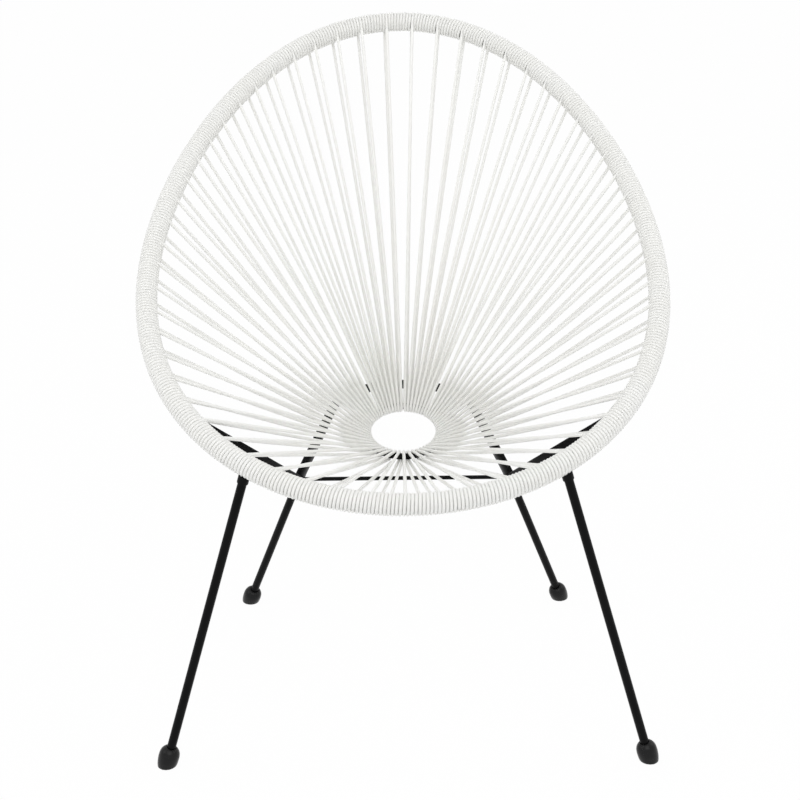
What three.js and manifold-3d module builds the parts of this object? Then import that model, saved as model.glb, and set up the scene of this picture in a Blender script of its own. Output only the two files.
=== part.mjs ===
// A round wire-seat lounge chair: an egg-shaped steel hoop wound with plastic cord, whose cords
// run straight to a small steel ring at the seat's lowest point. A bent base tube, two arms, a thin
// cross rod and four plug-in legs with rubber feet carry it. Nothing in it moves.
// Lengths are in millimetres. X is the width, -Y the front and +Z up, with the floor at zero.
import * as THREE from "three";
import Module from "manifold-3d";

const wasm = await Module();
wasm.setup();

// The hoop: a flat egg outline, leaning back
const hoopLength = 893; // front to back along its own plane, between centrelines
const hoopWidth = 711;
const hoopTilt = THREE.MathUtils.degToRad(32.72);
const hoopFrontY = -375.5;
const hoopFrontZ = 389.9;
const hoopEggShares = [0.1648, 0.0409, -0.0226]; // how far the widest place lies from the middle
const hoopTubeDiameter = 20;
const hoopTubeWall = 1.5;
const hoopSeamGap = 0.3; // where the bent tube's ends meet, at the back
const hoopSides = 8;
const outlineSteps = 1440;

// The cord and its winding on the hoop
const cordDiameter = 4.74;
const windClearance = 0.3; // between the hoop and the turns on it
const runGap = 0.3; // between the end turns of neighbouring lengths of cord
const cordSides = 5;
const stationCount = 59; // places on the hoop from which a cord goes to the ring and back
const turnsPerStation = 9;
const stationsPerRun = 4;
const stationShiftShares = [-0.125, 0.097, 0.063, -0.033]; // uneven spacing, of a station
const splitStrandShare = 0.6; // the front cord comes back this far to either side, of a station

// The seat ring
const ringRadius = 62; // to the middle of its rod
const ringRodDiameter = 10;
const ringCentreY = 141.5;
const ringCentreZ = 258;
const ringTilt = THREE.MathUtils.degToRad(17.1);
const ringSides = 8;
const ringSteps = 32;
const ringShiftShare = 0.0445; // the loops sit closer together at the back
const loopClearance = 0.4;
const loopSteps = 4;

// The base: a bent tube under the seat, two arms up to the hoop and a thin rod across
const baseTubeDiameter = 15;
const baseTubeWall = 1.5;
const baseSides = 12;
const baseZ = 270;
const cornerX = 158.4;
const cornerY = -59.9;
const bowRadius = 118.5;
const bowBackY = 310.6;
const bowSteps = 14;
const armStation = 7.48; // between two stations, so the arm passes between cords
const weldGap = 0.3;
const crossRodDiameter = 6;
const crossRodY = -53.8;
const crossRodZ = 268.5;

// Legs, sockets and feet
const legDiameter = 12;
const legWall = 1.2;
const legSides = 12;
const socketDiameter = 15;
const socketShort = 4; // a socket ends this far short of the middle of the tube it is welded to
const plugClearance = 0.3;
const frontLegStation = 4.86; // between two stations
const frontSocketReach = 24; // from the hoop's centreline to the socket's mouth
const frontFootX = 326.9;
const frontFootY = -377.2;
const rearLegAlongSide = 27.5; // from the base tube's corner
const rearSocketReach = 42;
const rearFootX = 253.1;
const rearFootY = 47;
const footDiameter = 28;
const footHeight = 27;
const footFloor = 7; // rubber under the leg's end
const footHeightShares = [-0.35, 0.05, 0.36, 0.66, 0.86, 1];
const footRadiusShares = [0.72, 0.93, 1, 0.98, 0.84, 0.58];

// Derived sizes
const hoopTubeRadius = hoopTubeDiameter / 2;
const cordRadius = cordDiameter / 2;
const windInner = hoopTubeRadius + windClearance;
const windOuter = windInner + cordDiameter;
const strandOffset = windInner + cordRadius;
const ringRodRadius = ringRodDiameter / 2;
const loopRadius = ringRodRadius + loopClearance + cordRadius;
const baseTubeRadius = baseTubeDiameter / 2;
const legRadius = legDiameter / 2;
const socketRadius = socketDiameter / 2;
const footRadius = footDiameter / 2;

// Small helpers
const V = (x, y, z) => new THREE.Vector3(x, y, z);
const plus = (a, b, share) => a.clone().addScaledVector(b, share);
const unitTo = (a, b) => b.clone().sub(a).normalize();

// A closed solid from a list of triangles, turned the right way out.
function solidOf(points, triangles) {
  const vertProperties = new Float32Array(points.flatMap((p) => [p.x, p.y, p.z]));
  const triVerts = new Uint32Array(triangles.flat());
  const made = new wasm.Manifold(new wasm.Mesh({ numProp: 3, vertProperties, triVerts }));
  if (made.volume() > 0) return made;
  return solidOf(
    points,
    triangles.map(([a, b, c]) => [a, c, b]),
  );
}

// The quads between rings of points, each a pair of triangles.
function band(rings, sides, closed, offset = 0, flip = false) {
  const triangles = [];
  const count = closed ? rings.length : rings.length - 1;
  for (let i = 0; i < count; i++) {
    const here = offset + i * sides;
    const next = offset + ((i + 1) % rings.length) * sides;
    for (let j = 0; j < sides; j++) {
      const k = (j + 1) % sides;
      const pair = [
        [here + j, next + j, next + k],
        [here + j, next + k, here + k],
      ];
      triangles.push(...(flip ? pair.map(([a, b, c]) => [a, c, b]) : pair));
    }
  }
  return triangles;
}

// A solid rod through rings of points, with flat ends or closed on itself.
function rod(rings, closed = false) {
  const sides = rings[0].length;
  const triangles = band(rings, sides, closed);
  if (!closed) {
    const last = (rings.length - 1) * sides;
    for (let j = 1; j < sides - 1; j++) {
      triangles.push([0, j, j + 1], [last, last + j + 1, last + j]);
    }
  }
  return solidOf(rings.flat(), triangles);
}

// A tube with open ends, through outer and inner rings of points.
function pipe(outer, inner) {
  const sides = outer[0].length;
  const shift = outer.length * sides;
  const last = (outer.length - 1) * sides;
  const triangles = [...band(outer, sides, false), ...band(inner, sides, false, shift, true)];
  for (let j = 0; j < sides; j++) {
    const k = (j + 1) % sides;
    triangles.push([j, k, shift + k], [j, shift + k, shift + j]);
    triangles.push([last + k, last + j, last + shift + j]);
    triangles.push([last + k, last + shift + j, last + shift + k]);
  }
  return solidOf([...outer.flat(), ...inner.flat()], triangles);
}

// Points round a centre, in the plane of two unit vectors.
function circle(centre, u, w, radius, sides) {
  return Array.from({ length: sides }, (_, j) => {
    const angle = (j * 2 * Math.PI) / sides;
    return plus(plus(centre, u, radius * Math.cos(angle)), w, radius * Math.sin(angle));
  });
}

// Rings along a bent line, mitred at its corners. Its ends are square, or lie in a given plane.
function ringsAlong(path, radius, sides, startPlane, endPlane) {
  const way = path.slice(1).map((p, i) => unitTo(path[i], p));
  const side = new THREE.Vector3().crossVectors(way[0], V(0, 0, 1));
  if (side.length() < 0.1) side.set(1, 0, 0);
  side.normalize();
  const up = new THREE.Vector3().crossVectors(side, way[0]);
  let ring = circle(path[0], side, up, radius, sides);
  const onto = (points, direction, centre, normal) =>
    points.map((p) => {
      const share = centre.clone().sub(p).dot(normal) / direction.dot(normal);
      return plus(p, direction, share);
    });
  ring = onto(ring, way[0], path[0], startPlane || way[0]);
  const rings = [ring];
  for (let i = 1; i < path.length; i++) {
    const last = i === path.length - 1;
    const normal = last ? endPlane || way[i - 1] : way[i - 1].clone().add(way[i]).normalize();
    ring = onto(ring, way[i - 1], path[i], normal);
    rings.push(ring);
  }
  return rings;
}

const rodAlong = (path, radius, sides, a, b) => rod(ringsAlong(path, radius, sides, a, b));
const pipeAlong = (path, radius, wall, sides, a, b) =>
  pipe(ringsAlong(path, radius, sides, a, b), ringsAlong(path, radius - wall, sides, a, b));

// The hoop's outline, with its length along it
const faceNormal = V(0, -Math.sin(hoopTilt), Math.cos(hoopTilt));
const eggWidth = (t) => {
  const c = Math.cos(t);
  return Math.sin(t) * (1 + c * (hoopEggShares[0] + c * (hoopEggShares[1] + c * hoopEggShares[2])));
};
const turn = Array.from({ length: outlineSteps + 1 }, (_, i) => (i * 2 * Math.PI) / outlineSteps);
const widest = Math.max(...turn.map(eggWidth));
const outline = turn.map((t) => {
  const along = (hoopLength * (1 - Math.cos(t))) / 2;
  return V(
    ((hoopWidth / 2) * eggWidth(t)) / widest,
    hoopFrontY + along * Math.cos(hoopTilt),
    hoopFrontZ + along * Math.sin(hoopTilt),
  );
});
const reach = [0];
outline.slice(1).forEach((p, i) => reach.push(reach[i] + p.distanceTo(outline[i])));
const hoopPerimeter = reach[outlineSteps];

// The point of the hoop's centreline at a length along it from the front.
function hoopAt(length) {
  const s = ((length % hoopPerimeter) + hoopPerimeter) % hoopPerimeter;
  let low = 0;
  let high = outlineSteps;
  while (high - low > 1) {
    const middle = (low + high) >> 1;
    if (reach[middle] > s) high = middle;
    else low = middle;
  }
  const share = (s - reach[low]) / (reach[high] - reach[low]);
  return outline[low].clone().lerp(outline[high], share);
}

// The hoop's centre point, direction and outward direction at a station, counted from the front.
// Each station lies a whole number of turns of the winding from the front.
const turnPitch = hoopPerimeter / (stationCount * turnsPerStation);
function stationLength(station) {
  const angle = (2 * Math.PI * station) / stationCount;
  const moved = stationShiftShares.reduce((sum, a, i) => sum + a * Math.sin((i + 1) * angle), station);
  return Math.round(moved * turnsPerStation) * turnPitch;
}

function hoopFrame(station, shift = 0) {
  const before = Math.floor(station);
  const share = station - before;
  const length = (1 - share) * stationLength(before) + share * stationLength(before + 1) + shift;
  const along = unitTo(hoopAt(length - cordRadius), hoopAt(length + cordRadius));
  return {
    centre: hoopAt(length),
    along,
    outward: new THREE.Vector3().crossVectors(along, faceNormal).normalize(),
  };
}

// The ring's centreline, at an angle from its front
const ringCentre = V(0, ringCentreY, ringCentreZ);
const ringBack = V(0, Math.cos(ringTilt), Math.sin(ringTilt));
const ringNormal = V(0, -Math.sin(ringTilt), Math.cos(ringTilt));
const ringRay = (angle) => plus(V(Math.sin(angle), 0, 0), ringBack, -Math.cos(angle));
const ringAt = (angle) => plus(ringCentre, ringRay(angle), ringRadius);
const ringAngle = (station) => {
  const share = (2 * station) / stationCount;
  return Math.PI * (share + ringShiftShare * Math.sin(Math.PI * share));
};

// The parts
const chair = new THREE.Group();
function material(color, roughness, metalness) {
  return new THREE.MeshStandardMaterial({ color, roughness, metalness });
}
const cordWhite = material(0xebebe8, 0.35, 0);
const steelBlack = material(0x1c1c1d, 0.45, 0.4);
const rubberBlack = material(0x141414, 0.6, 0);

function add(name, solid, look) {
  const made = solid.getMesh();
  const geometry = new THREE.BufferGeometry();
  geometry.setAttribute("position", new THREE.BufferAttribute(made.vertProperties, made.numProp));
  geometry.setIndex(new THREE.BufferAttribute(made.triVerts, 1));
  geometry.computeVertexNormals();
  const mesh = new THREE.Mesh(geometry, look);
  mesh.name = name;
  chair.add(mesh);
}

// The hoop's steel tube, straight between the middles of the cords' places, as its winding is
const hoopRing = (station, radius, shift = 0) => {
  const at = hoopFrame(station, shift);
  return circle(at.centre, at.outward, faceNormal, radius, hoopSides);
};
const seamRing = (i, radius) => {
  const shift = i === 0 ? hoopSeamGap / 2 : i === stationCount ? -hoopSeamGap / 2 : 0;
  return hoopRing(i - stationCount / 2, radius, shift);
};
const hoopPlaces = Array.from({ length: stationCount + 1 }, (_, i) => i);
const hoopTube = pipe(
  hoopPlaces.map((i) => seamRing(i, hoopTubeRadius)),
  hoopPlaces.map((i) => seamRing(i, hoopTubeRadius - hoopTubeWall)),
);
add("hoop_tube", hoopTube, steelBlack);

// One cord: over the hoop's face, down to the ring, round it, and back to the hoop's underside
function strandPlaces(station) {
  const hoop = hoopFrame(station);
  const nearest = Math.round(station);
  const before = hoopFrame(nearest - 0.5).centre;
  hoop.centre = before.lerp(hoopFrame(nearest + 0.5).centre, station - nearest + 0.5);
  const angle = ringAngle(station);
  const ring = ringAt(angle);
  const back = unitTo(ring, hoop.centre);
  const acrossHoop = new THREE.Vector3().crossVectors(hoop.along, back).normalize();
  if (acrossHoop.dot(faceNormal) < 0) acrossHoop.negate();
  const ringAlong = new THREE.Vector3().crossVectors(ringNormal, ringRay(angle));
  const acrossRing = new THREE.Vector3().crossVectors(ringAlong, back).normalize();
  if (acrossRing.dot(ringNormal) < 0) acrossRing.negate();
  return { hoop, ring, back, acrossHoop, acrossRing, ringAlong };
}

function loopedCord(station, returnStation = station, sideways = 0) {
  const out = strandPlaces(station);
  const home = strandPlaces(returnStation);
  const path = [plus(out.hoop.centre, out.acrossHoop, strandOffset)];
  for (let i = 0; i <= loopSteps; i++) {
    const angle = (i * Math.PI) / loopSteps;
    const bend = i % loopSteps ? 1 / Math.cos(Math.PI / (2 * loopSteps)) : 1;
    let p = plus(out.ring, out.acrossRing, loopRadius * bend * Math.cos(angle));
    p = plus(p, out.back, -loopRadius * bend * Math.sin(angle));
    path.push(plus(p, out.ringAlong, (sideways * i) / loopSteps));
  }
  path.push(plus(home.hoop.centre, home.acrossHoop, -strandOffset));
  return rodAlong(path, cordRadius, cordSides);
}

// The front cord's second return, tied under the ring beside the first
function frontReturn() {
  const out = strandPlaces(0);
  const home = strandPlaces(-splitStrandShare);
  let start = plus(out.ring, out.acrossRing, -loopRadius);
  start = plus(start, out.ringAlong, -(cordRadius + windClearance));
  const end = plus(home.hoop.centre, home.acrossHoop, -strandOffset);
  return rodAlong([start, end], cordRadius, cordSides);
}

// A length of cord: its turns on the hoop, as one sleeve, and its loops to the ring
function cordRun(name, stations) {
  const first = stations[0] - 0.5;
  const outer = [];
  const inner = [];
  for (let i = 0; i <= stations.length; i++) {
    const shift = i === 0 ? runGap / 2 : i === stations.length ? -runGap / 2 : 0;
    outer.push(hoopRing(first + i, windOuter, shift));
    inner.push(hoopRing(first + i, windInner, shift));
  }
  let solid = pipe(outer, inner);
  for (const k of stations) {
    if (k === 0) {
      solid = solid.add(loopedCord(0, splitStrandShare, cordRadius + windClearance));
      solid = solid.add(frontReturn());
    } else solid = solid.add(loopedCord(k));
  }
  add(name, solid, cordWhite);
}

cordRun("cord_front", [-1, 0, 1]);
const perSide = (stationCount - 3) / 2;
for (let start = 2, n = 1; start < 2 + perSide; start += stationsPerRun, n++) {
  const run = [];
  for (let k = start; k < Math.min(start + stationsPerRun, 2 + perSide); k++) run.push(k);
  cordRun("cord_right_" + n, run);
  cordRun("cord_left_" + n, run.map((k) => -k).reverse());
}

// The seat ring
const ringRings = Array.from({ length: ringSteps }, (_, i) => {
  const angle = (i * 2 * Math.PI) / ringSteps;
  return circle(ringAt(angle), ringRay(angle), ringNormal, ringRodRadius, ringSides);
});
add("seat_ring", rod(ringRings, true), steelBlack);

// The base tube: two straight sides and a round bow behind the ring
const mirror = (p) => V(-p.x, p.y, p.z);
const corner = V(cornerX, cornerY, baseZ);
const bowCentre = V(0, bowBackY - bowRadius, baseZ);
const spread = corner.distanceTo(bowCentre);
const sideAngle = Math.atan2(cornerX, bowCentre.y - cornerY) - Math.asin(bowRadius / spread);
const sideWay = V(-Math.sin(sideAngle), Math.cos(sideAngle), 0);
const bow = Array.from({ length: bowSteps + 1 }, (_, i) => {
  const angle = sideAngle + ((Math.PI - 2 * sideAngle) * i) / bowSteps;
  return plus(plus(bowCentre, V(1, 0, 0), bowRadius * Math.cos(angle)), V(0, 1, 0), bowRadius * Math.sin(angle));
});
const armTop = hoopFrame(armStation).centre;
const armWay = unitTo(armTop, corner);
const mitre = armWay.clone().add(sideWay).normalize();
const mirrorWay = (v) => V(v.x, -v.y, -v.z);
const basePath = [plus(corner, sideWay, weldGap / 2), ...bow, mirror(plus(corner, sideWay, weldGap / 2))];
add(
  "base_bow",
  pipeAlong(basePath, baseTubeRadius, baseTubeWall, baseSides, mitre, mirrorWay(mitre)),
  steelBlack,
);

// A short piece of the wound hoop, larger by the weld gap, to shape what is welded under it
function hoopCutter(station, margin) {
  const at = hoopFrame(station);
  const half = socketDiameter + baseTubeDiameter;
  const ends = [plus(at.centre, at.along, -half), plus(at.centre, at.along, half)];
  return rodAlong(ends, (windOuter + margin) / Math.cos(Math.PI / legSides), legSides);
}

// Both sides of a piece that has a mirror twin
function addPair(name, solid, look) {
  add(name + "_right", solid, look);
  add(name + "_left", solid.mirror([1, 0, 0]), look);
}

// Arms from the corners up to the hoop's underside
const armLow = plus(corner, armWay, -weldGap / 2);
let arm = pipeAlong([armTop, armLow], baseTubeRadius, baseTubeWall, baseSides, null, mitre);
arm = arm.subtract(hoopCutter(armStation, weldGap));
addPair("base_arm", arm, steelBlack);

// The thin rod across, between the base tube's sides
const sideXAt = (y) => cornerX - (y - cornerY) * Math.tan(sideAngle);
const crossRodRadius = crossRodDiameter / 2;
const crossHalf =
  sideXAt(crossRodY) -
  baseTubeRadius / Math.cos(sideAngle) -
  crossRodRadius * Math.tan(sideAngle) -
  weldGap;
const crossEnd = V(crossHalf, crossRodY, crossRodZ);
add("cross_rod", rodAlong([mirror(crossEnd), crossEnd], crossRodRadius, ringSides), steelBlack);

// A leg with its foot: the leg's axis goes from its place on the floor to its seat
function legSet(end, floorPoint, seat, socketReach, cutter) {
  const way = unitTo(floorPoint, seat);
  const mouth = plus(seat, way, -socketReach);
  const bore = legRadius + plugClearance;
  const socketEnd = plus(seat, way, -socketShort);
  const socket = pipeAlong([mouth, socketEnd], socketRadius, socketRadius - bore, legSides);
  addPair("socket_" + end, socket.subtract(cutter(weldGap)), steelBlack);

  const bottom = plus(floorPoint, way, footFloor);
  const leg = pipeAlong([bottom, seat], legRadius, legWall, legSides);
  addPair("leg_" + end, leg.subtract(cutter(2 * weldGap)), steelBlack);

  const ringsOfFoot = footHeightShares.map((share, i) => {
    const across = new THREE.Vector3().crossVectors(way, V(0, 1, 0)).normalize();
    const other = new THREE.Vector3().crossVectors(way, across);
    const centre = plus(floorPoint, way, share * footHeight);
    return circle(centre, across, other, footRadiusShares[i] * footRadius, legSides);
  });
  const boreEnds = [plus(bottom, way, -plugClearance), plus(floorPoint, way, 2 * footHeight)];
  const foot = rod(ringsOfFoot)
    .trimByPlane([0, 0, 1], 0)
    .subtract(rodAlong(boreEnds, bore, legSides));
  addPair("foot_" + end, foot, rubberBlack);
}

const frontSeat = hoopFrame(frontLegStation).centre;
legSet("front", V(frontFootX, frontFootY, 0), frontSeat, frontSocketReach, (margin) =>
  hoopCutter(frontLegStation, margin),
);
const rearSeat = plus(corner, sideWay, rearLegAlongSide);
legSet("rear", V(rearFootX, rearFootY, 0), rearSeat, rearSocketReach, (margin) => {
  const half = socketDiameter + baseTubeDiameter;
  const ends = [plus(rearSeat, sideWay, -half), plus(rearSeat, sideWay, half)];
  return rodAlong(ends, (baseTubeRadius + margin) / Math.cos(Math.PI / legSides), legSides);
});

// The origin lies under the middle of the chair's outline, on the floor
const box = new THREE.Box3().setFromObject(chair);
chair.position.set(-(box.min.x + box.max.x) / 2, -(box.min.y + box.max.y) / 2, -box.min.z);
const part = new THREE.Group();
part.add(chair);

export default part;
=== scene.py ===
import math

import bpy
import numpy as np
from mathutils import Matrix, Vector


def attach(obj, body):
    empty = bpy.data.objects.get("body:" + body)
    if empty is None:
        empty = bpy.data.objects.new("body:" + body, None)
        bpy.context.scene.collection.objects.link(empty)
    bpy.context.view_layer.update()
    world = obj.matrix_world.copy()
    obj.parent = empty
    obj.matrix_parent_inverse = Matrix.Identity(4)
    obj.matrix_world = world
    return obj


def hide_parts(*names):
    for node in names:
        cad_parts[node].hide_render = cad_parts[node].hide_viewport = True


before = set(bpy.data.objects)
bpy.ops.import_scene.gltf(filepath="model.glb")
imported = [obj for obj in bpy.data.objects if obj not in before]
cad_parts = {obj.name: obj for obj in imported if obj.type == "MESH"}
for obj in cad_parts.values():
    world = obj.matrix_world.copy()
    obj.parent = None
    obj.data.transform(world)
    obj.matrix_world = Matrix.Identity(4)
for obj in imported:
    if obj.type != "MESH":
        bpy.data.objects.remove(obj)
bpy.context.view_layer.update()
print("frame loaded")

mm = 0.001  # every length below is given in millimetres times this, so in metres

# the camera stands in front of the chair, above it, and looks 23 degrees down
camera = {
    "place": (-9.405 * mm, -1931.38 * mm, 1192 * mm),
    "pitch": math.radians(23),
    "yaw": 0.0021,
    "roll": -0.0101,
    "lens": 63,
    "sensor": 36,
}


def makeCamera(setting):
    pitch, yaw, roll = setting["pitch"], setting["yaw"], setting["roll"]
    flat = Vector((math.sin(yaw), math.cos(yaw), 0))
    right = Vector((math.cos(yaw), -math.sin(yaw), 0))
    forward = flat * math.cos(pitch) - Vector((0, 0, math.sin(pitch)))
    up = flat * math.sin(pitch) + Vector((0, 0, math.cos(pitch)))
    x = right * math.cos(roll) + up * math.sin(roll)
    y = up * math.cos(roll) - right * math.sin(roll)
    data = bpy.data.cameras.new("camera")
    data.lens = setting["lens"]
    data.sensor_width = setting["sensor"]
    data.clip_end = 100
    view = bpy.data.objects.new("camera", data)
    turned = Matrix((x, y, -forward)).transposed().to_4x4()
    view.matrix_world = Matrix.Translation(setting["place"]) @ turned
    bpy.context.scene.collection.objects.link(view)
    bpy.context.scene.camera = view


makeCamera(camera)
print("camera placed")


# small tools for shapes: arrays of points, one row each
def unit(v):
    return v / np.linalg.norm(v, axis=-1, keepdims=True)


def tubeRings(path, refs, radius, sides):
    # a circle round each point of the path, square to it; refs says where its first point lies
    step = unit(np.diff(path, axis=0))
    along = unit(np.vstack([step[:1], step]) + np.vstack([step, step[-1:]]))
    u = unit(refs - along * (refs * along).sum(1, keepdims=True))
    w = np.cross(along, u)
    angle = 2 * np.pi * np.arange(sides) / sides
    spokes = np.cos(angle)[None, :, None] * u[:, None] + np.sin(angle)[None, :, None] * w[:, None]
    return path[:, None] + np.broadcast_to(radius, len(path))[:, None, None] * spokes


def latheRings(start, way, side, heights, radii, sides):
    # a profile of heights and radii carried round an axis
    other = np.cross(way, side)
    angle = 2 * np.pi * np.arange(sides) / sides
    spokes = np.cos(angle)[:, None] * side + np.sin(angle)[:, None] * other
    heights, radii = np.asarray(heights), np.asarray(radii)
    return start + heights[:, None, None] * way + radii[:, None, None] * spokes[None]


def ontoPlane(points, way, centre, normal):
    # slide points along a direction until they lie in a plane
    share = ((centre - points) @ normal) / (way @ normal)
    return points + share[:, None] * way


def ontoTube(points, way, centre, axis, radius):
    # slide points along a direction until they touch the near side of a round tube
    flatWay = way - axis * (way @ axis)
    away = (points - centre) - ((points - centre) @ axis)[:, None] * axis
    a = flatWay @ flatWay
    b = 2 * away @ flatWay
    c = (away * away).sum(1) - radius**2
    return points + ((-b - np.sqrt(b * b - 4 * a * c)) / (2 * a))[:, None] * way


def skin(rings, closed=False):
    # quads between rings of points, with flat caps unless the profile closes on itself
    count, sides = rings.shape[:2]
    i = np.arange(count if closed else count - 1)[:, None]
    j = np.arange(sides)[None, :]
    n, k = (i + 1) % count, (j + 1) % sides
    around = (i * sides + j, i * sides + k, n * sides + k, n * sides + j)
    quads = np.stack(np.broadcast_arrays(*around), -1)
    faces = quads.reshape(-1, 4).tolist()
    if not closed:
        faces.append(list(range(sides))[::-1])
        faces.append([(count - 1) * sides + a for a in range(sides)])
    travel = np.linalg.norm(np.diff(rings.mean(1), axis=0), axis=1)
    u = np.concatenate([[0], np.cumsum(travel), [travel.sum()]])
    v = np.arange(sides + 1) / sides
    corner = [(i, j), (i, j + 1), (i + 1, j + 1), (i + 1, j)]
    uv = np.stack([np.stack(np.broadcast_arrays(u[a], v[b]), -1) for a, b in corner], 2)
    uv = uv.reshape(-1, 2)
    if not closed:
        uv = np.vstack([uv, np.zeros((2 * sides, 2))])
    return rings.reshape(-1, 3), faces, uv


def makePiece(name, skins, material, replaced, angle=None):
    verts, faces, uvs, start = [], [], [], 0
    for points, quads, uv in skins:
        verts.append(points)
        faces += [[a + start for a in face] for face in quads]
        uvs.append(uv)
        start += len(points)
    mesh = bpy.data.meshes.new(name)
    mesh.from_pydata(np.vstack(verts).tolist(), [], faces)
    layer = mesh.uv_layers.new(name="along")  # metres along the piece, turns round it
    layer.data.foreach_set("uv", np.vstack(uvs).astype(np.float32).ravel())
    mesh.polygons.foreach_set("use_smooth", [len(face) == 4 for face in faces])
    mesh.materials.append(material)
    mesh.update()
    piece = bpy.data.objects.new(name, mesh)
    bpy.context.scene.collection.objects.link(piece)
    if angle is not None:
        mesh.set_sharp_from_angle(angle=angle)
    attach(piece, "root")
    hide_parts(*replaced)


# materials: each one is a principled shader with its own pattern on the surface
def newShader(name):
    material = bpy.data.materials.new(name)
    material.use_nodes = True
    tree = material.node_tree
    return material, tree, tree.nodes["Principled BSDF"]


def noise(tree, coords, scale, detail=3.0, stretch=None):
    if stretch is not None:
        mapping = tree.nodes.new("ShaderNodeMapping")
        mapping.inputs["Scale"].default_value = stretch
        tree.links.new(coords, mapping.inputs["Vector"])
        coords = mapping.outputs["Vector"]
    node = tree.nodes.new("ShaderNodeTexNoise")
    node.inputs["Scale"].default_value = scale
    node.inputs["Detail"].default_value = detail
    tree.links.new(coords, node.inputs["Vector"])
    return node.outputs["Fac"]


def blendColours(tree, share, low, high, start=0.35, end=0.65):
    ramp = tree.nodes.new("ShaderNodeValToRGB")
    ramp.color_ramp.elements[0].position = start
    ramp.color_ramp.elements[1].position = end
    ramp.color_ramp.elements[0].color = (*low, 1)
    ramp.color_ramp.elements[1].color = (*high, 1)
    tree.links.new(share, ramp.inputs["Fac"])
    return ramp.outputs["Color"]


def spread(tree, share, low, high):
    node = tree.nodes.new("ShaderNodeMapRange")
    node.inputs["From Min"].default_value = 0.3
    node.inputs["From Max"].default_value = 0.7
    node.inputs["To Min"].default_value = low
    node.inputs["To Max"].default_value = high
    tree.links.new(share, node.inputs["Value"])
    return node.outputs["Result"]


def addBump(tree, shader, heights, depth):
    # heights run from 0 to 1 and are depth metres deep; several are chained
    normal = None
    for height, deep in zip(heights, depth):
        bump = tree.nodes.new("ShaderNodeBump")
        bump.inputs["Strength"].default_value = 1
        bump.inputs["Distance"].default_value = deep
        tree.links.new(height, bump.inputs["Height"])
        if normal is not None:
            tree.links.new(normal, bump.inputs["Normal"])
        normal = bump.outputs["Normal"]
    tree.links.new(normal, shader.inputs["Normal"])


cordLook = {
    "light": (0.93, 0.93, 0.9),
    "dull": (0.905, 0.902, 0.868),
    "roughness": (0.30, 0.38),
    "specular": 0.4,
    "soft": 0.6,
    "softDepth": 0.006,
    "toneScale": 14,
    "streakStretch": (18, 9, 1),
    "streakDepth": 0.00003,
    "grainScale": 500,
    "grainDepth": 0.000005,
}
steelLook = {
    "deep": (0.0020, 0.0020, 0.0022),
    "worn": (0.0036, 0.0036, 0.0038),
    "roughness": (0.30, 0.42),
    "specular": 0.085,
    "cloudScale": 30,
    "peelScale": 700,
    "peelDepth": 0.00005,
}
rubberLook = {
    "deep": (0.0040, 0.0040, 0.0042),
    "worn": (0.0080, 0.0080, 0.0080),
    "roughness": (0.20, 0.34),
    "specular": 0.22,
    "scuffRange": (0.5, 0.75),
    "scuffScale": 60,
    "grainScale": 1400,
    "grainDepth": 0.00003,
}


def makeCordPlastic(look):
    # extruded plastic: faint drawing streaks along the cord, slow changes of tone
    material, tree, shader = newShader("cordPlastic")
    coords = tree.nodes.new("ShaderNodeTexCoord")
    uv = tree.nodes.new("ShaderNodeUVMap")
    uv.uv_map = "along"
    broad = noise(tree, coords.outputs["Object"], look["toneScale"], 2)
    streaks = noise(tree, uv.outputs["UV"], 1, 3, look["streakStretch"])
    grain = noise(tree, coords.outputs["Object"], look["grainScale"], 2)
    tone = blendColours(tree, broad, look["dull"], look["light"])
    tree.links.new(tone, shader.inputs["Base Color"])
    tree.links.new(spread(tree, streaks, *look["roughness"]), shader.inputs["Roughness"])
    addBump(tree, shader, [streaks, grain], [look["streakDepth"], look["grainDepth"]])
    shader.inputs["Subsurface Weight"].default_value = look["soft"]
    shader.inputs["Subsurface Radius"].default_value = (1, 1, 1)
    shader.inputs["Subsurface Scale"].default_value = look["softDepth"]
    shader.inputs["Specular IOR Level"].default_value = look["specular"]
    return material


def makePaintedSteel(look):
    # satin powder paint: a fine orange peel and cloudy gloss
    material, tree, shader = newShader("satinBlackSteel")
    coords = tree.nodes.new("ShaderNodeTexCoord")
    cloudy = noise(tree, coords.outputs["Object"], look["cloudScale"], 3)
    peel = noise(tree, coords.outputs["Object"], look["peelScale"], 2)
    tone = blendColours(tree, cloudy, look["deep"], look["worn"])
    tree.links.new(tone, shader.inputs["Base Color"])
    tree.links.new(spread(tree, cloudy, *look["roughness"]), shader.inputs["Roughness"])
    addBump(tree, shader, [peel], [look["peelDepth"]])
    shader.inputs["Specular IOR Level"].default_value = look["specular"]
    return material


def makeFootRubber(look):
    # moulded feet: glossy, with fine scuffs round them
    material, tree, shader = newShader("footRubber")
    coords = tree.nodes.new("ShaderNodeTexCoord")
    scuffs = noise(tree, coords.outputs["Object"], look["scuffScale"], 4, (1, 1, 5))
    grain = noise(tree, coords.outputs["Object"], look["grainScale"], 2)
    tone = blendColours(tree, scuffs, look["deep"], look["worn"], *look["scuffRange"])
    tree.links.new(tone, shader.inputs["Base Color"])
    tree.links.new(spread(tree, scuffs, *look["roughness"]), shader.inputs["Roughness"])
    addBump(tree, shader, [grain], [look["grainDepth"]])
    shader.inputs["Specular IOR Level"].default_value = look["specular"]
    return material


cordPlastic = makeCordPlastic(cordLook)
blackSteel = makePaintedSteel(steelLook)
footRubber = makeFootRubber(rubberLook)
print("materials made")

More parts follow.
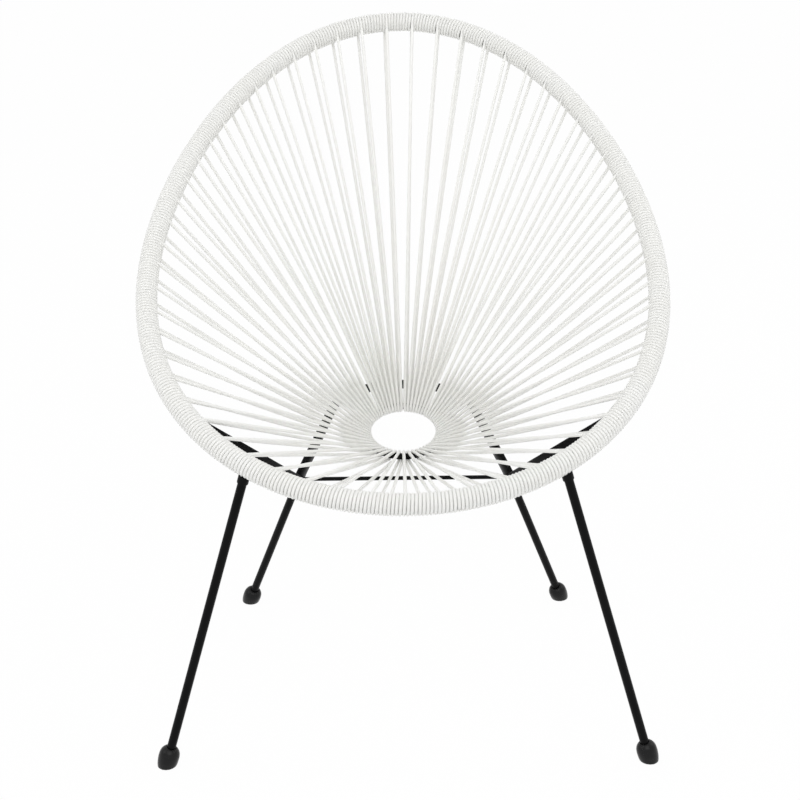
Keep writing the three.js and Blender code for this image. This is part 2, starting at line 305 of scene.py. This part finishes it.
# the hoop: a flat egg outline that leans back, as points along its middle line
hoop = {
    "length": 893 * mm,
    "width": 711 * mm,
    "tilt": math.radians(32.72),
    "frontY": -375.5 * mm,
    "frontZ": 389.9 * mm,
    "egg": (0.1648, 0.0409, -0.0226),
    "tubeRadius": 10 * mm,
    "tubeSides": 24,
    "steps": 360,
    "outlineSteps": 14400,
    "feel": 2 * mm,  # the direction is taken over this much to each side
}
outlineTurn = np.linspace(0, 2 * np.pi, hoop["outlineSteps"] + 1)
eggCos = np.cos(outlineTurn)
eggWide = np.sin(outlineTurn) * (
    1 + eggCos * (hoop["egg"][0] + eggCos * (hoop["egg"][1] + eggCos * hoop["egg"][2]))
)
eggAlong = hoop["length"] * (1 - eggCos) / 2
outline = np.stack(
    [
        hoop["width"] / 2 * eggWide / eggWide.max(),
        hoop["frontY"] + eggAlong * math.cos(hoop["tilt"]),
        hoop["frontZ"] + eggAlong * math.sin(hoop["tilt"]),
    ],
    1,
)
reach = np.concatenate([[0], np.cumsum(np.linalg.norm(np.diff(outline, axis=0), axis=1))])
perimeter = reach[-1]
faceNormal = np.array([0, -math.sin(hoop["tilt"]), math.cos(hoop["tilt"])])


def hoopAt(length):
    # centre, direction and outward direction of the hoop at lengths from its front
    length = np.atleast_1d(length)

    def at(s):
        return np.stack([np.interp(s % perimeter, reach, outline[:, a]) for a in range(3)], -1)

    along = unit(at(length + hoop["feel"]) - at(length - hoop["feel"]))
    return at(length), along, unit(np.cross(along, faceNormal))


hoopMiddle, _, hoopOut = hoopAt(np.linspace(0, perimeter, hoop["steps"] + 1)[:-1])
angles = 2 * np.pi * np.arange(hoop["tubeSides"]) / hoop["tubeSides"]
hoopSpokes = np.cos(angles)[:, None] * hoopOut[:, None] + np.sin(angles)[:, None] * faceNormal
hoopRings = hoopMiddle[:, None] + hoop["tubeRadius"] * hoopSpokes
makePiece("hoop", [skin(hoopRings[:, ::-1], closed=True)], blackSteel, ["hoop_tube"])
print("hoop made")

# the seat ring, small and tilted, that every cord goes round
ring = {
    "radius": 62 * mm,
    "rodRadius": 5 * mm,
    "rodSides": 24,
    "steps": 144,
    "centre": (0, 141.5 * mm, 258 * mm),
    "tilt": math.radians(17.1),
    "closerAtBack": 0.0445,
}
ringNormal = np.array([0, -math.sin(ring["tilt"]), math.cos(ring["tilt"])])
ringBack = np.array([0, math.cos(ring["tilt"]), math.sin(ring["tilt"])])


def ringAt(angle):
    # centre of the rod and outward direction, at angles from the ring's front
    angle = np.atleast_1d(angle)
    ray = np.sin(angle)[:, None] * np.array([1.0, 0, 0]) - np.cos(angle)[:, None] * ringBack
    return np.array(ring["centre"]) + ring["radius"] * ray, ray


ringMiddle, ringRay = ringAt(np.linspace(0, 2 * np.pi, ring["steps"], endpoint=False))
angles = 2 * np.pi * np.arange(ring["rodSides"]) / ring["rodSides"]
ringSpokes = np.cos(angles)[:, None] * ringRay[:, None] + np.sin(angles)[:, None] * ringNormal
ringRings = ringMiddle[:, None] + ring["rodRadius"] * ringSpokes
makePiece("seatRing", [skin(ringRings[:, ::-1], closed=True)], blackSteel, ["seat_ring"])
print("seat ring made")

# the cord: wound turn by turn round the hoop, and at each place led to the ring and back
cord = {
    "radius": 2.37 * mm,
    "windRadius": 12.67 * mm,  # from the hoop's middle to the cord's middle
    "loopRadius": 7.6 * mm,
    "places": 59,
    "turnsPerPlace": 9,
    "uneven": (-0.125, 0.097, 0.063, -0.033),
    "sides": 8,
    "stepsPerTurn": 16,
    "loopSteps": 8,
    "frontSplit": 0.6,  # the front cord comes back this far to each side, in places
    "frontAside": 1.1,  # how far its two halves part at the ring, in cord radii
    "frontBegin": 0.45,  # the second half starts this far round the ring's rod
    "placesPerRun": 4,
    "swell": 1.06,  # pressed against the ring, the cord is this much wider
    "backRepeat": 7.3,  # places from the back after which cords above and below line up in view
    "backRepeats": 1.5,  # how many times that far the returning cords are set aside
}
turnPitch = perimeter / (cord["places"] * cord["turnsPerPlace"])


def turnOf(place):
    # whole number of turns between the front and a place, unevenly spaced round the hoop
    place = np.asarray(place, float)
    angle = 2 * np.pi * place / cord["places"]
    moved = place + sum(a * np.sin((n + 1) * angle) for n, a in enumerate(cord["uneven"]))
    return np.floor(moved * cord["turnsPerPlace"] + 0.5)


def windPoint(turn):
    # helix round the hoop: one full circle each turn while it moves on by one cord's width
    turn = np.atleast_1d(turn)
    middle, _, outward = hoopAt((turn - 0.5) * turnPitch)
    angle = 2 * np.pi * turn[:, None]
    spoke = np.cos(angle) * outward + np.sin(angle) * faceNormal
    return middle + cord["windRadius"] * spoke, spoke


def strandPlace(place):
    # where the cord leaves the hoop for the ring, and how it goes round the ring
    low = math.floor(place)
    turns = (1 - place + low) * turnOf(low) + (place - low) * turnOf(low + 1)
    middle, along, outward = (a[0] for a in hoopAt(turns * turnPitch))
    share = 2 * place / cord["places"]
    angle = np.pi * (share + ring["closerAtBack"] * math.sin(np.pi * share))
    rod, ray = (a[0] for a in ringAt(angle))
    back = unit(middle - rod)
    acrossHoop = unit(np.cross(along, back))
    acrossHoop = acrossHoop * np.sign(acrossHoop @ faceNormal)
    ringAlong = np.cross(ringNormal, ray)
    acrossRing = unit(np.cross(ringAlong, back))
    acrossRing = acrossRing * np.sign(acrossRing @ ringNormal)
    leave = math.atan2(acrossHoop @ faceNormal, acrossHoop @ outward) / (2 * np.pi)
    return turns + leave, middle, acrossHoop, rod, back, acrossRing, ringAlong


def windStretch(first, last):
    count = max(1, math.ceil((last - first) * cord["stepsPerTurn"]))
    return windPoint(np.linspace(first, last, count + 1))


def loopPoints(place, start=0.0, sideways=0.0):
    # half a circle round the ring's rod, from over it to under it
    _, _, _, rod, back, across, along = strandPlace(place)
    share = np.linspace(start, 1, cord["loopSteps"] + 1)[:, None]
    spoke = np.cos(np.pi * share) * across - np.sin(np.pi * share) * back
    return rod + cord["loopRadius"] * spoke + sideways * share * along, spoke


def settled(place):
    # sideways shift at the ring: low at the back the returning cords lie between the others,
    # half a spacing aside, less what the height between the two layers does in view
    repeats = (cord["places"] / 2 - abs(place)) / cord["backRepeat"]
    spacing = 2 * np.pi * ring["radius"] / cord["places"]
    aside = (0.5 - repeats % 1) * spacing if repeats < cord["backRepeats"] else 0.0
    return -math.copysign(1, place) * aside


def cordSkin(parts):
    path = np.vstack([a for a, _ in parts])
    refs = np.vstack([b for _, b in parts])
    keep = np.concatenate([[True], np.linalg.norm(np.diff(path, axis=0), axis=1) > 1e-6])
    nearRing = np.linalg.norm(path - np.array(ring["centre"]), axis=1) < 2 * ring["radius"]
    radius = cord["radius"] * np.where(nearRing, cord["swell"], 1.0)
    return skin(tubeRings(path[keep], refs[keep], radius[keep], cord["sides"]))


def makeRun(name, places):
    first = (turnOf(places[0] - 1) + turnOf(places[0])) / 2 + 0.5
    last = (turnOf(places[-1]) + turnOf(places[-1] + 1)) / 2 + 0.5
    skins, parts, turn = [], [], first
    for place in places:
        leave = strandPlace(place)[0]
        parts.append(windStretch(turn, leave))
        if place == 0:
            aside = cord["radius"] * cord["frontAside"]
            for side in (1, -1):
                _, middle, across = strandPlace(side * cord["frontSplit"])[:3]
                end = (middle - cord["windRadius"] * across)[None], -across[None]
                begin = 0.0 if side == 1 else cord["frontBegin"]
                skins.append(cordSkin(parts + [loopPoints(0, begin, side * aside), end]))
                parts = []
        else:
            parts.append(loopPoints(place, 0.0, settled(place)))
        turn = leave + 0.5
    parts.append(windStretch(turn, last))
    skins.append(cordSkin(parts))
    makePiece(name.replace("_", ""), skins, cordPlastic, [name])


makeRun("cord_front", [-1, 0, 1])
perSide = (cord["places"] - 3) // 2
for number, start in enumerate(range(2, 2 + perSide, cord["placesPerRun"])):
    places = list(range(start, min(start + cord["placesPerRun"], 2 + perSide)))
    makeRun("cord_right_%d" % (number + 1), places)
    makeRun("cord_left_%d" % (number + 1), [-k for k in places][::-1])
print("cord wound")

# the base: a bent tube lying under the seat, two arms up to the hoop and a thin rod across
base = {
    "radius": 7.5 * mm,
    "sides": 32,
    "height": 270 * mm,
    "corner": (158.4 * mm, -59.9 * mm),
    "bowRadius": 118.5 * mm,
    "bowBack": 310.6 * mm,
    "bowSteps": 64,
    "armPlace": 7.48,
    "weldGap": 0.3 * mm,
    "crossRadius": 3 * mm,
    "crossSides": 16,
    "crossY": -53.8 * mm,
    "crossZ": 268.5 * mm,
}
windOuter = cord["windRadius"] + cord["radius"]
upward = np.array([0, 0, 1.0])
flip = np.array([-1.0, 1, 1])
corner = np.array([*base["corner"], base["height"]])
bowCentre = np.array([0, base["bowBack"] - base["bowRadius"], base["height"]])
sideAngle = math.atan2(corner[0], bowCentre[1] - corner[1]) - math.asin(
    base["bowRadius"] / np.linalg.norm(corner - bowCentre)
)
sideWay = np.array([-math.sin(sideAngle), math.cos(sideAngle), 0])


def placeOnHoop(place):
    low = math.floor(place)
    turns = (1 - place + low) * turnOf(low) + (place - low) * turnOf(low + 1)
    return [a[0] for a in hoopAt(turns * turnPitch)]


def mirrored(rings):
    return (rings * flip)[:, ::-1]


armTop, armAxis, _ = placeOnHoop(base["armPlace"])
armWay = unit(armTop - corner)
mitre = unit(armWay + sideWay)
sweep = np.linspace(sideAngle, np.pi - sideAngle, base["bowSteps"] + 1)
bowArc = bowCentre + base["bowRadius"] * np.stack([np.cos(sweep), np.sin(sweep), 0 * sweep], 1)
bowEnd = corner + sideWay * base["weldGap"] / 2
bowPath = np.vstack([bowEnd, bowArc, bowEnd * flip])
bowRings = tubeRings(bowPath, np.tile(upward, (len(bowPath), 1)), base["radius"], base["sides"])
bowRings[0] = ontoPlane(bowRings[0], sideWay, corner, mitre)
bowRings[-1] = ontoPlane(bowRings[-1], sideWay * flip, corner * flip, mitre * flip)
makePiece("baseBow", [skin(bowRings)], blackSteel, ["base_bow"])

armPath = np.stack([corner + armWay * base["weldGap"] / 2, armTop])
armRings = tubeRings(armPath, np.stack([upward, upward]), base["radius"], base["sides"])
armRings[0] = ontoPlane(armRings[0], armWay, corner, mitre)
armRings[1] = ontoTube(armRings[0], armWay, armTop, armAxis, windOuter)
makePiece("armRight", [skin(armRings)], blackSteel, ["base_arm_right"])
makePiece("armLeft", [skin(mirrored(armRings))], blackSteel, ["base_arm_left"])

crossHalf = corner[0] - (base["crossY"] - corner[1]) * math.tan(sideAngle)
crossHalf -= base["radius"] / math.cos(sideAngle)
crossEnd = np.array([crossHalf, base["crossY"], base["crossZ"]])
crossPath = np.stack([crossEnd * flip, crossEnd])
crossRefs = np.stack([upward, upward])
crossRings = tubeRings(crossPath, crossRefs, base["crossRadius"], base["crossSides"])
makePiece("crossRod", [skin(crossRings)], blackSteel, ["cross_rod"])
print("base made")

# legs in their sockets, and a barrel foot on each
leg = {
    "radius": 6 * mm,
    "socketRadius": 7.5 * mm,
    "bore": 6.3 * mm,
    "mouthChamfer": 0.5 * mm,
    "sides": 32,
    "frontPlace": 4.86,
    "frontReach": 24 * mm,
    "frontFoot": (326.9 * mm, -377.2 * mm, 0),
    "rearAlong": 27.5 * mm,
    "rearReach": 42 * mm,
    "rearFoot": (253.1 * mm, 47 * mm, 0),
    "sharpAngle": math.radians(40),
}
foot = {
    "radius": 14 * mm,
    "height": 27 * mm,
    "floor": 7 * mm,
    "sides": 48,
    "steps": 28,
    "heightShares": (-0.35, 0.05, 0.36, 0.66, 0.86, 1),
    "radiusShares": (0.72, 0.93, 1, 0.98, 0.84, 0.58),
    "lipHeights": (0.2 * mm, -0.8 * mm),
    "lipRound": 0.4 * mm,
}


def smoothProfile(x, y, count):
    # a smooth curve through the given points: a polynomial as high as the points allow
    fit = np.polynomial.Polynomial.fit(x, y, len(x) - 1)
    at = np.linspace(x[0], x[-1], count)
    return at, fit(at)


def makeLeg(end, floorPoint, seat, seatAxis, seatRadius, reachDown):
    floorPoint = np.array(floorPoint)
    way = unit(seat - floorPoint)
    side = unit(np.cross(way, [0, 1.0, 0]))
    length = np.linalg.norm(seat - floorPoint)
    mouth = length - reachDown
    heights = [mouth, mouth + leg["mouthChamfer"], mouth + 2 * leg["mouthChamfer"], mouth]
    lipRadius = leg["socketRadius"] - leg["mouthChamfer"]
    radii = [leg["bore"], leg["bore"], leg["socketRadius"], lipRadius]
    order = [1, 0, 3, 2]
    heights, radii = np.array(heights)[order], np.array(radii)[order]
    profile = latheRings(floorPoint, way, side, heights, radii, leg["sides"])
    innerTop = ontoTube(profile[0], way, seat, seatAxis, seatRadius)
    outerTop = ontoTube(profile[-1], way, seat, seatAxis, seatRadius)
    socketRings = np.concatenate([innerTop[None], profile, outerTop[None]])
    span, thick = [foot["floor"], mouth], [leg["radius"]] * 2
    legRings = latheRings(floorPoint, way, side, span, thick, leg["sides"])
    legTop = ontoTube(legRings[-1], way, seat, seatAxis, seatRadius + base["weldGap"])
    legRings = np.concatenate([legRings, legTop[None]])

    shares, widths = smoothProfile(foot["heightShares"], foot["radiusShares"], foot["steps"])
    lip = np.array(foot["lipHeights"]) + foot["height"]
    heights = np.concatenate([shares * foot["height"], lip, [foot["floor"]]])
    inner = [leg["bore"] + foot["lipRound"], leg["bore"], leg["bore"]]
    radii = np.concatenate([widths * foot["radius"], inner])
    footRings = latheRings(floorPoint, way, side, heights, radii, foot["sides"])
    below = np.minimum(footRings[..., 2:], 0)
    footRings = footRings - below / way[2] * way  # flat where it stands
    for name, label, rings, look, slot, node in (
        ("socket", "Socket", socketRings, blackSteel, "frame", "socket_"),
        ("leg", "Leg", legRings, blackSteel, "frame", "leg_"),
        ("foot", "Foot", footRings, footRubber, "feet", "foot_"),
    ):
        closed = name == "socket"
        for hand, turned in (("right", rings), ("left", mirrored(rings))):
            made = skin(turned, closed=closed)
            replaced = [node + end + "_" + hand]
            makePiece(end + label + hand.title(), [made], look, replaced, leg["sharpAngle"])


frontSeat, frontAxis, _ = placeOnHoop(leg["frontPlace"])
makeLeg("front", leg["frontFoot"], frontSeat, frontAxis, windOuter, leg["frontReach"])
rearSeat = corner + sideWay * leg["rearAlong"]
makeLeg("rear", leg["rearFoot"], rearSeat, sideWay, base["radius"], leg["rearReach"])
print("legs made")

# floor, light and white surroundings
studio = {
    "floorSize": 40,
    "floorPaint": (0.93, 0.93, 0.93, 1),
    "floorGlow": 0.97,  # share of plain white that is seen, the rest shows the shadow
    "skyStrength": 0.755,
    "lamps": (
        # place, aimed at, size, watts
        ((0.2, -2.4, 2.7), (0, 0, 0.4), 2.6, 26),
        ((-2.6, -0.8, 2.2), (0, 0, 0.4), 1.8, 8),
        ((2.6, 0.6, 2.4), (0, 0, 0.4), 1.8, 8),
    ),
}


def seenDirectly(tree):
    # one for camera, mirror and glass rays, zero for the light that falls on things
    path = tree.nodes.new("ShaderNodeLightPath")
    total = path.outputs["Is Camera Ray"]
    for name in ("Is Glossy Ray", "Is Transmission Ray"):
        add = tree.nodes.new("ShaderNodeMath")
        add.operation = "MAXIMUM"
        tree.links.new(total, add.inputs[0])
        tree.links.new(path.outputs[name], add.inputs[1])
        total = add.outputs[0]
    return total


def makeFloor(setting):
    half = setting["floorSize"] / 2
    mesh = bpy.data.meshes.new("floor")
    corners = [(-half, -half, 0), (half, -half, 0), (half, half, 0), (-half, half, 0)]
    mesh.from_pydata(corners, [], [(0, 1, 2, 3)])
    floor = bpy.data.objects.new("floor", mesh)
    bpy.context.scene.collection.objects.link(floor)
    material = bpy.data.materials.new("floorWhite")
    material.use_nodes = True
    tree = material.node_tree
    tree.nodes.clear()
    out = tree.nodes.new("ShaderNodeOutputMaterial")
    paint = tree.nodes.new("ShaderNodeBsdfDiffuse")
    paint.inputs["Color"].default_value = setting["floorPaint"]
    glow = tree.nodes.new("ShaderNodeEmission")
    mix = tree.nodes.new("ShaderNodeMixShader")
    share = tree.nodes.new("ShaderNodeMath")
    share.operation = "MULTIPLY"
    share.inputs[1].default_value = setting["floorGlow"]
    tree.links.new(seenDirectly(tree), share.inputs[0])
    tree.links.new(share.outputs[0], mix.inputs["Fac"])
    tree.links.new(paint.outputs[0], mix.inputs[1])
    tree.links.new(glow.outputs[0], mix.inputs[2])
    tree.links.new(mix.outputs[0], out.inputs["Surface"])
    mesh.materials.append(material)


def makeLight(setting):
    world = bpy.data.worlds.new("studio")
    world.use_nodes = True
    tree = world.node_tree
    tree.nodes.clear()
    out = tree.nodes.new("ShaderNodeOutputWorld")
    sky = tree.nodes.new("ShaderNodeBackground")
    sky.inputs["Strength"].default_value = setting["skyStrength"]
    white = tree.nodes.new("ShaderNodeBackground")
    white.inputs["Color"].default_value = (1, 1, 1, 1)
    sky.inputs["Color"].default_value = (1, 1, 1, 1)
    mix = tree.nodes.new("ShaderNodeMixShader")
    tree.links.new(seenDirectly(tree), mix.inputs["Fac"])
    tree.links.new(sky.outputs[0], mix.inputs[1])
    tree.links.new(white.outputs[0], mix.inputs[2])
    tree.links.new(mix.outputs[0], out.inputs["Surface"])
    bpy.context.scene.world = world
    for n, (place, target, size, watts) in enumerate(setting["lamps"]):
        data = bpy.data.lights.new("softLamp%d" % n, "AREA")
        data.size = size
        data.energy = watts
        lamp = bpy.data.objects.new(data.name, data)
        way = Vector(target) - Vector(place)
        turned = way.to_track_quat("-Z", "Y").to_matrix().to_4x4()
        lamp.matrix_world = Matrix.Translation(place) @ turned
        bpy.context.scene.collection.objects.link(lamp)


makeFloor(studio)
makeLight(studio)
bpy.context.scene.view_settings.view_transform = "Standard"
print("studio lit")
